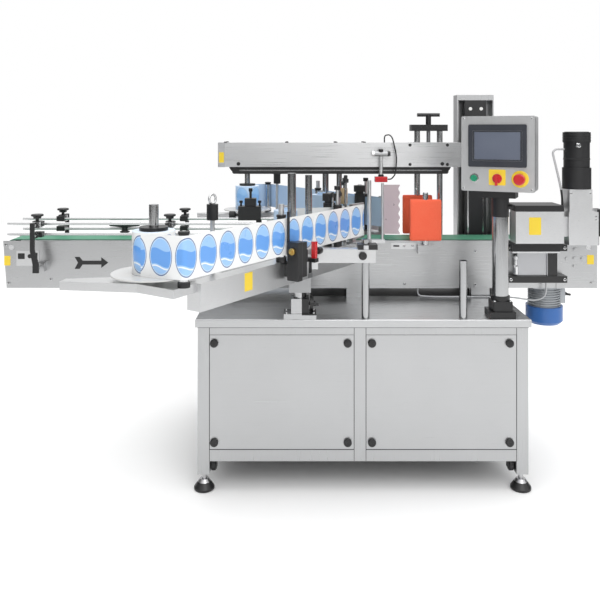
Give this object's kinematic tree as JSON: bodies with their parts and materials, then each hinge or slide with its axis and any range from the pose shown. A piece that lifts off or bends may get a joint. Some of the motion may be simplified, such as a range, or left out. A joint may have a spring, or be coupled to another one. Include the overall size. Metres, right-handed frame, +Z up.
{
  "type": "labeling machine",
  "caption": "Free-standing labeling machine: belt conveyor on a steel cabinet, front and rear label heads, hold-down belt, wrap station and operator panel.",
  "frame": {"origin": "on the floor, below the middle of the conveyor", "axes": "+X the way the belt runs, -Y the front with the operator panel, +Z up"},
  "size_m": [2.27, 1.8344, 1.365],
  "materials": {
    "steel": "brushed stainless sheet, satin",
    "chrome": "polished hard chrome",
    "alu": "fine satin anodised",
    "black_plastic": "matte",
    "belt_green": "smooth green conveyor belting",
    "belt_black": "ribbed black belting",
    "motor": "cast, with a blue painted fan cover",
    "film": "blue and white printed label web",
    "roll": "wound label web",
    "clear": "clear disc with a black hub",
    "foam": "open-cell orange foam",
    "lead": "matte black sheath",
    "hmi": "brushed steel box with a black screen frame",
    "green_plastic": "gloss",
    "red_plastic": "gloss",
    "black_steel": "black oxide",
    "film2": "wound waste liner"
  },
  "bodies": {
    "base": {"column_front": "chrome", "column_rear": "chrome", "conveyor_bed": "steel", "conveyor_belt": "belt_green", "conveyor_side_front": "steel", "conveyor_side_rear": "steel", "drive_motor": "motor", "feet": "black_plastic", "frame": "steel", "hmi_post": "steel", "lift_column": "alu", "lift_rods": "chrome", "machine_leads": "lead", "panel_back": "steel", "panel_front_left": "steel", "panel_front_right": "steel", "panel_left": "steel", "panel_right": "steel", "tabletop": "steel", "wrap_bars": "black_steel"},
    "drive_roller": {"drive_roller": "chrome"},
    "tail_roller": {"tail_roller": "chrome"},
    "guide_front": {"guide_front": "steel"},
    "guide_rear": {"guide_rear": "steel"},
    "head_front": {"head_front": "alu", "web_front": "film"},
    "reel_front": {"reel_front": "clear", "roll_front": "roll"},
    "idler_in_front": {"idler_in_front": "chrome"},
    "idler_out_front": {"idler_out_front": "chrome"},
    "traction_front": {"traction_front": "chrome"},
    "nip_front": {"nip_front": "chrome"},
    "rewind_front": {"rewind_front": "film2"},
    "handwheel_front": {"handwheel_front": "black_steel"},
    "head_rear": {"head_rear": "alu", "web_rear": "film"},
    "reel_rear": {"reel_rear": "clear", "roll_rear": "roll"},
    "idler_in_rear": {"idler_in_rear": "chrome"},
    "idler_out_rear": {"idler_out_rear": "chrome"},
    "traction_rear": {"traction_rear": "chrome"},
    "nip_rear": {"nip_rear": "chrome"},
    "rewind_rear": {"rewind_rear": "film2"},
    "handwheel_rear": {"handwheel_rear": "black_steel"},
    "top_beam": {"top_beam": "alu", "hold_belt": "belt_black"},
    "hold_pulley_left": {"hold_pulley_left": "chrome"},
    "hold_pulley_right": {"hold_pulley_right": "chrome"},
    "lift_handle": {"lift_handle": "black_steel"},
    "pad_front": {"pad_front": "foam"},
    "pad_rear": {"pad_rear": "foam"},
    "hmi_box": {"hmi_box": "hmi"},
    "start_button": {"start_button": "green_plastic"},
    "rotary_switch": {"rotary_switch": "red_plastic"},
    "stop_button": {"stop_button": "red_plastic"},
    "wrap_carriage": {"wrap_carriage": "alu", "wrap_belt": "belt_black", "wrap_lead": "lead"},
    "wrap_pulley_left": {"wrap_pulley_left": "chrome"},
    "wrap_pulley_right": {"wrap_pulley_right": "chrome"}
  },
  "joints": [
    {"name": "drive_roller_spin", "type": "hinge", "parent": "base", "child": "drive_roller", "pos_m": [1.103, 0, 0.7727], "axis": [0, 1, 0], "continuous": true},
    {"name": "tail_roller_spin", "type": "hinge", "parent": "base", "child": "tail_roller", "pos_m": [-1.103, 0, 0.7727], "axis": [0, 1, 0], "continuous": true},
    {"name": "guide_front_slide", "type": "slide", "parent": "base", "child": "guide_front", "axis": [0, 1, 0], "range_m": [0, 0.04]},
    {"name": "guide_rear_slide", "type": "slide", "parent": "base", "child": "guide_rear", "axis": [0, -1, 0], "range_m": [0, 0.04]},
    {"name": "head_front_lift", "type": "slide", "parent": "base", "child": "head_front", "axis": [0, 0, 1], "range_m": [-0.015, 0.03]},
    {"name": "reel_front_spin", "type": "hinge", "parent": "head_front", "child": "reel_front", "pos_m": [-0.41063, -0.791, 0.881], "axis": [0, 0, 1], "continuous": true},
    {"name": "idler_in_front_spin", "type": "hinge", "parent": "head_front", "child": "idler_in_front", "pos_m": [-0.31069, -0.8846, 0.881], "axis": [0, 0, 1], "continuous": true},
    {"name": "idler_out_front_spin", "type": "hinge", "parent": "head_front", "child": "idler_out_front", "pos_m": [-0.05981, -0.51948, 0.881], "axis": [0, 0, 1], "continuous": true},
    {"name": "traction_front_spin", "type": "hinge", "parent": "head_front", "child": "traction_front", "pos_m": [0.10725, -0.18798, 0.881], "axis": [0, 0, 1], "continuous": true},
    {"name": "nip_front_spin", "type": "hinge", "parent": "head_front", "child": "nip_front", "pos_m": [0.13509, -0.21726, 0.881], "axis": [0, 0, 1], "continuous": true},
    {"name": "rewind_front_spin", "type": "hinge", "parent": "head_front", "child": "rewind_front", "pos_m": [-0.05036, -0.29835, 0.881], "axis": [0, 0, 1], "continuous": true},
    {"name": "handwheel_front_turn", "type": "hinge", "parent": "base", "child": "handwheel_front", "pos_m": [0.04, -0.362, 0.628], "axis": [1, 0, 0], "range_deg": [-540, 1080]},
    {"name": "head_rear_lift", "type": "slide", "parent": "base", "child": "head_rear", "axis": [0, 0, 1], "range_m": [-0.015, 0.03]},
    {"name": "reel_rear_spin", "type": "hinge", "parent": "head_rear", "child": "reel_rear", "pos_m": [-0.26663, 0.791, 0.881], "axis": [0, 0, -1], "continuous": true},
    {"name": "idler_in_rear_spin", "type": "hinge", "parent": "head_rear", "child": "idler_in_rear", "pos_m": [-0.16669, 0.8846, 0.881], "axis": [0, 0, -1], "continuous": true},
    {"name": "idler_out_rear_spin", "type": "hinge", "parent": "head_rear", "child": "idler_out_rear", "pos_m": [0.08419, 0.51948, 0.881], "axis": [0, 0, -1], "continuous": true},
    {"name": "traction_rear_spin", "type": "hinge", "parent": "head_rear", "child": "traction_rear", "pos_m": [0.25125, 0.18798, 0.881], "axis": [0, 0, -1], "continuous": true},
    {"name": "nip_rear_spin", "type": "hinge", "parent": "head_rear", "child": "nip_rear", "pos_m": [0.27909, 0.21726, 0.881], "axis": [0, 0, -1], "continuous": true},
    {"name": "rewind_rear_spin", "type": "hinge", "parent": "head_rear", "child": "rewind_rear", "pos_m": [0.09364, 0.29835, 0.881], "axis": [0, 0, -1], "continuous": true},
    {"name": "handwheel_rear_turn", "type": "hinge", "parent": "base", "child": "handwheel_rear", "pos_m": [0.184, 0.362, 0.628], "axis": [1, 0, 0], "range_deg": [-540, 1080]},
    {"name": "top_beam_lift", "type": "slide", "parent": "base", "child": "top_beam", "axis": [0, 0, 1], "range_m": [-0.06, 0.03]},
    {"name": "hold_pulley_left_spin", "type": "hinge", "parent": "top_beam", "child": "hold_pulley_left", "pos_m": [-0.238, 0, 1.0903], "axis": [0, 1, 0], "continuous": true},
    {"name": "hold_pulley_right_spin", "type": "hinge", "parent": "top_beam", "child": "hold_pulley_right", "pos_m": [0.55, 0, 1.0903], "axis": [0, 1, 0], "continuous": true},
    {"name": "lift_handle_turn", "type": "hinge", "parent": "base", "child": "lift_handle", "pos_m": [0.5295, 0.13, 1.26], "axis": [0, 0, 1], "range_deg": [-2160, 1080]},
    {"name": "pad_front_swing", "type": "hinge", "parent": "base", "child": "pad_front", "pos_m": [0.4775, -0.092, 0.88], "axis": [0, 0, 1], "range_deg": [-8, 8]},
    {"name": "pad_rear_swing", "type": "hinge", "parent": "base", "child": "pad_rear", "pos_m": [0.4775, 0.092, 0.88], "axis": [0, 0, 1], "range_deg": [-8, 8]},
    {"name": "hmi_swivel", "type": "hinge", "parent": "base", "child": "hmi_box", "pos_m": [0.688, -0.352, 1], "axis": [0, 0, 1], "range_deg": [-50, 70]},
    {"name": "start_press", "type": "slide", "parent": "hmi_box", "child": "start_button", "axis": [0.4226, 0.9063, 0], "range_m": [0, 0.004], "stiffness_N_per_m": 600, "springref_m": -0.001},
    {"name": "rotary_turn", "type": "hinge", "parent": "hmi_box", "child": "rotary_switch", "pos_m": [0.6618, -0.40819, 1.058], "axis": [0.4226, 0.9063, 0], "range_deg": [0, 90]},
    {"name": "stop_press", "type": "slide", "parent": "hmi_box", "child": "stop_button", "axis": [0.4226, 0.9063, 0], "range_m": [0, 0.005], "stiffness_N_per_m": 900, "springref_m": -0.001},
    {"name": "wrap_slide", "type": "slide", "parent": "base", "child": "wrap_carriage", "axis": [0, -1, 0], "range_m": [0, 0.03]},
    {"name": "wrap_pulley_left_spin", "type": "hinge", "parent": "wrap_carriage", "child": "wrap_pulley_left", "pos_m": [0.822, -0.098, 0.86], "axis": [0, 0, 1], "continuous": true},
    {"name": "wrap_pulley_right_spin", "type": "hinge", "parent": "wrap_carriage", "child": "wrap_pulley_right", "pos_m": [0.934, -0.098, 0.86], "axis": [0, 0, 1], "continuous": true}
  ],
  "couplings": [
    {"joint": "tail_roller_spin", "follows": "drive_roller_spin", "ratio": 1},
    {"joint": "reel_front_spin", "follows": "traction_front_spin", "ratio": -0.37397},
    {"joint": "idler_in_front_spin", "follows": "traction_front_spin", "ratio": -1.5442},
    {"joint": "idler_out_front_spin", "follows": "traction_front_spin", "ratio": -1.5442},
    {"joint": "nip_front_spin", "follows": "traction_front_spin", "ratio": -1.3121},
    {"joint": "rewind_front_spin", "follows": "traction_front_spin", "ratio": -0.53162},
    {"joint": "handwheel_front_turn", "follows": "head_front_lift", "rad_per_m": 628.32},
    {"joint": "reel_rear_spin", "follows": "traction_rear_spin", "ratio": -0.37397},
    {"joint": "idler_in_rear_spin", "follows": "traction_rear_spin", "ratio": -1.5442},
    {"joint": "idler_out_rear_spin", "follows": "traction_rear_spin", "ratio": -1.5442},
    {"joint": "nip_rear_spin", "follows": "traction_rear_spin", "ratio": -1.3121},
    {"joint": "rewind_rear_spin", "follows": "traction_rear_spin", "ratio": -0.53162},
    {"joint": "handwheel_rear_turn", "follows": "head_rear_lift", "rad_per_m": 628.32},
    {"joint": "hold_pulley_left_spin", "follows": "hold_pulley_right_spin", "ratio": 1},
    {"joint": "lift_handle_turn", "follows": "top_beam_lift", "rad_per_m": 628.32},
    {"joint": "wrap_pulley_left_spin", "follows": "wrap_pulley_right_spin", "ratio": 1}
  ]
}
